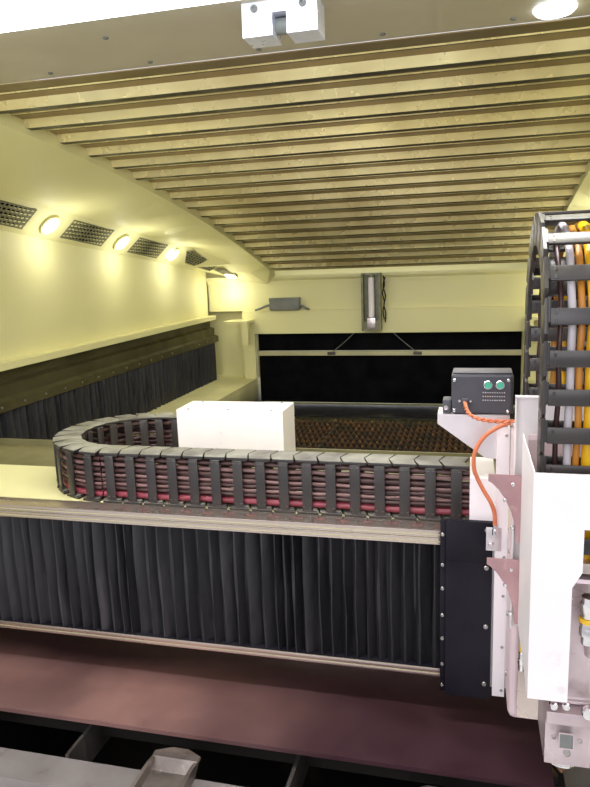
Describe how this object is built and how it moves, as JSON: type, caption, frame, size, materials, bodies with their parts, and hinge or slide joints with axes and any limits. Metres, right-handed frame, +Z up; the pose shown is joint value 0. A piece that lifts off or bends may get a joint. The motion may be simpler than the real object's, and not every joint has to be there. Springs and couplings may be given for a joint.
{
  "type": "fiber laser cutting machine",
  "caption": "Enclosed flat-bed laser cutter: curved ribbed roof, slat pallet, moving gantry with bellows and energy chains, cutting head with nozzle.",
  "frame": {"origin": "on the floor, under the middle of the cabin's box", "axes": "+Z up; +X along the gantry, to the right seen from the open front; +Y from the open front to the rear doorway"},
  "size_m": [3.1, 4.1, 2.541],
  "materials": {
    "cream_paint": "semi-gloss cream paint",
    "white_paint": "satin white powder coat",
    "black_paint": "black powder coat",
    "dark_steel": "dull dark steel",
    "galvanised_sheet": "galvanised ribbed sheet in warm shade",
    "bare_steel": "bright bare steel",
    "stainless": "brushed stainless",
    "rusty_steel": "rusted sheet steel",
    "plate_steel": "mill-scale plate",
    "chain_plastic": "dark grey polyamide",
    "black_cloth": "coated black cloth",
    "head_metal": "anodised aluminium",
    "chrome": "bright chrome",
    "copper": "turned copper",
    "lamp_cover": "clear white diffuser",
    "grey_plastic": "grey moulded plastic",
    "box_plastic": "black moulded plastic",
    "green_plastic": "green glossy cap",
    "orange_sleeve": "orange cable sleeve",
    "yellow_sleeve": "yellow fibre sleeve"
  },
  "bodies": {
    "machine_frame": {"machine_base": "cream_paint", "left_side_panel": "cream_paint", "right_side_panel": "cream_paint", "left_duct": "cream_paint", "right_duct": "cream_paint", "left_wall_panel": "cream_paint", "right_wall_panel": "cream_paint", "left_rail_cover": "dark_steel", "right_rail_cover": "dark_steel", "roof_sheet": "galvanised_sheet", "front_header": "cream_paint", "light_bar": "lamp_cover", "door_rope_block": "white_paint", "rear_portal": "cream_paint", "rear_wall": "cream_paint", "rear_skin": "cream_paint", "junction_box": "grey_plastic", "lift_cylinder": "stainless", "lift_rope": "dark_steel", "curtain_upper_cloth": "black_cloth", "left_front_rail_bellows": "black_cloth", "left_rear_rail_bellows": "black_cloth", "right_front_rail_bellows": "black_cloth", "right_rear_rail_bellows": "black_cloth"},
    "pallet": {"pallet_frame": "dark_steel", "slats": "rusty_steel", "metal_sheet": "plate_steel", "left_hook": "stainless", "middle_hook": "stainless", "right_hook": "stainless"},
    "lift_curtain": {"curtain_bar": "bare_steel", "curtain_cloth": "black_cloth"},
    "gantry": {"gantry_beam": "cream_paint", "chain_tray": "bare_steel", "chain_end_cover": "white_paint", "x_chain_rear": "chain_plastic", "left_x_bellows": "black_cloth", "right_x_bellows": "black_cloth"},
    "chain_loop": {"x_chain_loop": "chain_plastic", "x_chain_front": "chain_plastic"},
    "carriage": {"saddle": "dark_steel", "black_cover": "black_paint", "white_strip": "white_paint", "z_column": "white_paint", "chain_channel": "white_paint", "control_box": "box_plastic", "box_bracket": "white_paint", "box_cable": "orange_sleeve", "z_chain": "chain_plastic"},
    "left_push_button": {"left_button": "green_plastic"},
    "right_push_button": {"right_button": "green_plastic"},
    "head": {"slide_plate": "stainless", "head_cover": "white_paint", "upper_fin": "stainless", "lower_fin": "stainless", "head_body": "head_metal", "sensor_block": "head_metal", "nozzle_ring": "chrome", "nozzle": "copper", "fibre_tube": "yellow_sleeve"}
  },
  "joints": [
    {"name": "pallet_shuttle", "type": "slide", "parent": "machine_frame", "child": "pallet", "axis": [0, -1, 0], "range_m": [0, 3.2]},
    {"name": "gantry_travel", "type": "slide", "parent": "machine_frame", "child": "gantry", "axis": [0, 1, 0], "range_m": [0, 2.65], "deforming": ["left_front_rail_bellows", "right_front_rail_bellows", "left_rear_rail_bellows", "right_rear_rail_bellows"]},
    {"name": "carriage_travel", "type": "slide", "parent": "gantry", "child": "carriage", "axis": [1, 0, 0], "range_m": [-1.38, 0], "deforming": ["left_x_bellows", "right_x_bellows", "x_chain_front"]},
    {"name": "chain_loop_travel", "type": "slide", "parent": "gantry", "child": "chain_loop", "axis": [1, 0, 0], "range_m": [-0.69, 0], "deforming": ["x_chain_rear"]},
    {"name": "head_lift", "type": "slide", "parent": "carriage", "child": "head", "axis": [0, 0, 1], "range_m": [-0.14, 0.03], "deforming": ["z_chain"]},
    {"name": "rear_curtain_lift", "type": "slide", "parent": "machine_frame", "child": "lift_curtain", "axis": [0, 0, 1], "range_m": [0, 0.12], "deforming": ["curtain_upper_cloth", "lift_rope"]},
    {"name": "left_button_press", "type": "slide", "parent": "carriage", "child": "left_push_button", "axis": [0, 1, 0], "range_m": [0, 0.003], "stiffness_N_per_m": 400},
    {"name": "right_button_press", "type": "slide", "parent": "carriage", "child": "right_push_button", "axis": [0, 1, 0], "range_m": [0, 0.003], "stiffness_N_per_m": 400}
  ],
  "couplings": [
    {"joint": "chain_loop_travel", "follows": "carriage_travel", "ratio": 0.5}
  ]
}
